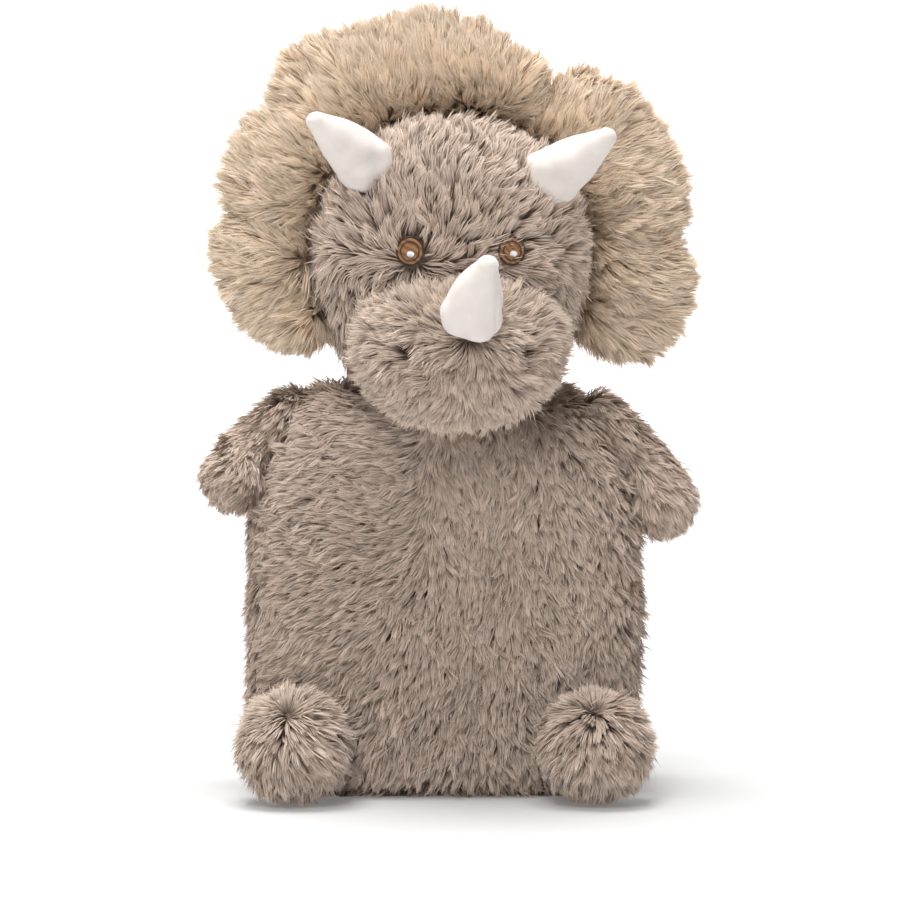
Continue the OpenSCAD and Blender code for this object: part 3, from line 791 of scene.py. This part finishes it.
def stitch_ring(shape, radius, length, height, count):
    """Satin stitches side by side around a ring, each pointing outwards."""
    for i in range(count):
        angle = 2 * math.pi * (i + 0.3 * math.sin(7 * i)) / count
        out = Vector((math.cos(angle), math.sin(angle), 0))
        add_stitch(shape, out * radius + Vector((0, 0, height)), out + Vector((0, 0, 0.12)), length)


def finished(shape, name, place, material, body):
    """A bmesh moved to its place on the toy, as a piece."""
    shape.transform(place)
    mesh = bpy.data.meshes.new(name)
    shape.to_mesh(mesh)
    shape.free()
    mesh.shade_smooth()
    return show(mesh, name, material, body)


stitched_at = 51.1
for side, way in eye_ways.items():
    place = placed(on_head(*(stitched_at * way)), turned(*way))
    rim = bmesh.new()
    stitch_ring(rim, 5.1, 1.3, 0.55, 76)
    stitch_ring(rim, 3.55, 0.55, 1.12, 64)
    rim = finished(rim, side + "_eye_rim", place, dark_rayon, "head")
    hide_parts(side + "_eye_outline")
    rounds = [(out, 0.62 + 0.42 * math.cos(out / 5.2 * 1.4) + (0.12 if i % 2 else 0.0)) for i, out in (
        (i, 4.75 - 0.21 * i) for i in range(22))]
    iris = spun([(0, 0.1), (4.85, 0.1)] + rounds + [(0, 1.16)], 64)
    iris = finished(iris, side + "_eye_rounds", place, copper_rayon, "head")
    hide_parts(side + "_eye_iris")
    glint = bmesh.new()
    for row in range(-3, 4):
        across = row * 0.4
        add_stitch(
            glint, (across + 0.4, -1.1, 1.32), (0, 1, 0),
            2.9 * math.sqrt(max(0.05, 1 - (across / 1.45) ** 2)))
    glint = finished(glint, side + "_eye_glint", place, white_rayon, "head")
    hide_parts(side + "_eye_highlight")

# ---------- nostrils ----------
# Two short leaning bars of copper-brown satin stitch pulled down into the muzzle's pile.
nostril_rayon = thread_material("rayon_thread_copper_brown", "#a8744c", "#7a5238")
nostril_tilt = math.radians(35)
for side, sign in (("left", 1), ("right", -1)):
    foot = on_head(sign * 17.5, -65.0, -33)
    bar = bmesh.new()
    along = Vector((sign * math.sin(nostril_tilt), 0, math.cos(nostril_tilt)))
    over = Vector((math.cos(nostril_tilt), 0, -sign * math.sin(nostril_tilt)))
    for i in range(17):
        share = (i - 8) / 8
        add_stitch(
            bar, Vector(foot) + along * share * 3.2, over,
            2.2 * math.sqrt(1 - 0.75 * share ** 2))
    bar = finished(
        bar, side + "_nostril_stitches", Matrix.Identity(4), nostril_rayon, "head")
    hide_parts(side + "_nostril")

# ---------- care label ----------
# A blank tab of white satin ribbon, caught by its top edge low on the back.


def ribbon_material(name, colour, shadow):
    """Woven satin ribbon: bright floats about 2 mm apart, smooth to the light."""
    material, tree, shader = start_material(name, 0.38)
    here = add_node(tree, "ShaderNodeTexCoord").outputs["Object"]
    floats = add_node(
        tree, "ShaderNodeTexWave", [("Vector", here), ("Scale", 1 / (6 * MM)), ("Distortion", 0.4)],
        bands_direction="Z")
    tint = add_node(
        tree, "ShaderNodeMix", [(0, floats.outputs["Fac"]), (6, linear(shadow)), (7, linear(colour))],
        data_type="RGBA")
    tree.links.new(tint.outputs[2], shader.inputs["Base Color"])
    return material


label_low, label_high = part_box("care_label")
label_size = (label_high[0] - label_low[0], label_high[2] - label_low[2])
tab = bmesh.new()
bmesh.ops.create_grid(tab, x_segments=12, y_segments=16, size=0.5)
for vert in tab.verts:
    across, down = vert.co.x, vert.co.y
    ripple = 0.5 * MM * math.sin(5.0 * across + 2.0 * down)
    vert.co = Vector((
        (label_low[0] + label_high[0]) / 2 + across * label_size[0],
        label_high[1] + 0.6 * MM + ripple,
        (label_low[2] + label_high[2]) / 2 + down * label_size[1]))
bmesh.ops.recalc_face_normals(tab, faces=tab.faces)
label = finished(
    tab, "care_label_tab", Matrix.Identity(4),
    ribbon_material("satin_ribbon_white", "#f6f4ef", "#dcdad4"), "body")
thick = label.modifiers.new("thick", "SOLIDIFY")
thick.thickness = 0.25 * MM
thick.offset = 0
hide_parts("care_label")

# ---------- fillings ----------
# Loose polyester fibre fills every part, and a cloth bag of pellets weights the base.


def fibre_material(name, colour, shadow, grain):
    """Tangled fibre or plain weave: soft lumps of the grain given in mm."""
    material, tree, shader = start_material(name, 0.95)
    here = add_node(tree, "ShaderNodeTexCoord").outputs["Object"]
    lumps = add_node(
        tree, "ShaderNodeTexNoise", [("Vector", here), ("Scale", 1 / (grain * MM)), ("Detail", 5.0)])
    tint = add_node(
        tree, "ShaderNodeMix", [(0, lumps.outputs[0]), (6, linear(shadow)), (7, linear(colour))],
        data_type="RGBA")
    bump = add_node(
        tree, "ShaderNodeBump", [("Height", lumps.outputs[0]), ("Distance", 0.4 * MM)])
    tree.links.new(tint.outputs[2], shader.inputs["Base Color"])
    tree.links.new(bump.outputs[0], shader.inputs["Normal"])
    return material


fibre_inset = 1.4


def packed_inside(name, backing, node, body):
    """The fibre inside a backing that was pressed out of the filling's own shape."""
    packing = bmesh.new()
    packing.from_mesh(backing.data)
    packing.normal_update()
    for vert in packing.verts:
        vert.co -= fibre_inset * MM * vert.normal
    mesh = bpy.data.meshes.new(name)
    packing.to_mesh(mesh)
    packing.free()
    mesh.shade_smooth()
    piece = show(mesh, name, fibre, body)
    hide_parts(node)


fibre = fibre_material("polyester_fibre_filling", "#f7f5f1", "#d8d4cc", 3.0)
packed_inside("frill_filling", frill_backing, "frill_wadding", "frill")
for side in ("left", "right"):
    packed_inside(
        side + "_arm_filling", bpy.data.objects[side + "_arm_backing"], side + "_arm_stuffing",
        side + "_arm")
for horn in horns:
    packed_inside(horn + "_filling", bpy.data.objects[horn], horn + "_stuffing", "head")
bag_cloth = fibre_material("calico_pellet_bag", "#9aa4ac", "#74808a", 0.8)
for node, solid in frame["nodes"].items():
    if node.endswith(("_stuffing", "_wadding", "neck_plug")):
        solid.material_slots[0].material = fibre
    elif node == "pellet_bag":
        solid.material_slots[0].material = bag_cloth

# ---------- floor and light ----------
# A white paper sweep that curves up behind the toy, under a large overhead softbox with a smaller one in
# front. The paper also glows: painted light, dim near the toy and rising to full white away from it.
floor_mesh = bpy.data.meshes.new("paper_sweep")
sweep = bmesh.new()
front_edge = [sweep.verts.new((x, -4.0, 0)) for x in (-5.0, 5.0)]
row = [sweep.edges.new(front_edge)]
sweep_bend = 1.2
bend_step = math.pi / 24
turns = [(k * bend_step, (k + 1) * bend_step) for k in range(12)]
steps = [(6.0, 0.0)] + [
    (sweep_bend * (math.sin(b) - math.sin(a)), sweep_bend * (math.cos(a) - math.cos(b)))
    for a, b in turns] + [(0.0, 4.0)]
for ahead, rise in steps:
    made = bmesh.ops.extrude_edge_only(sweep, edges=row)["geom"]
    row = [g for g in made if isinstance(g, bmesh.types.BMEdge)]
    moved = [g for g in made if isinstance(g, bmesh.types.BMVert)]
    bmesh.ops.translate(sweep, verts=moved, vec=(0, ahead, rise))
bmesh.ops.recalc_face_normals(sweep, faces=sweep.faces)
sweep.to_mesh(floor_mesh)
sweep.free()
floor_mesh.shade_smooth()
floor = bpy.data.objects.new("paper_sweep", floor_mesh)
scene.collection.objects.link(floor)
paper, paper_tree, paper_shader = start_material("white_paper_sweep", 0.9)
paper_shader.inputs["Base Color"].default_value = (0.62, 0.62, 0.62, 1)
# Painted light: the paper's emission is weakest near the toy and full away from it.
paper_shader.inputs["Emission Color"].default_value = (1, 1, 1, 1)
from_toy = add_node(paper_tree, "ShaderNodeTexCoord").outputs["Object"]
away = add_node(paper_tree, "ShaderNodeVectorMath", [(0, from_toy)], operation="LENGTH")
glow = add_node(
    paper_tree, "ShaderNodeMapRange",
    [("Value", away.outputs["Value"]), ("From Min", 0.3), ("From Max", 1.6), ("To Min", 0.14),
     ("To Max", 1.0)])
paper_tree.links.new(glow.outputs[0], paper_shader.inputs["Emission Strength"])
floor_mesh.materials.append(paper)

world = bpy.data.worlds.new("studio")
world.use_nodes = True
world.node_tree.nodes["Background"].inputs["Color"].default_value = (1, 1, 1, 1)
world.node_tree.nodes["Background"].inputs["Strength"].default_value = 0.16
scene.world = world
softboxes = {
    "overhead_softbox": ((-0.16, 0.02, 1.75), 1.0, 35.0),
    "front_softbox": ((-0.35, -1.6, 1.7), 0.8, 19.0),
}
for name, (place, size, power) in softboxes.items():
    lamp = bpy.data.lights.new(name, "AREA")
    lamp.shape = "SQUARE"
    lamp.size = size
    lamp.energy = power
    light = bpy.data.objects.new(name, lamp)
    light.location = place
    light.rotation_euler = (camera_aim - Vector(place)).to_track_quat("-Z", "Y").to_euler()
    scene.collection.objects.link(light)
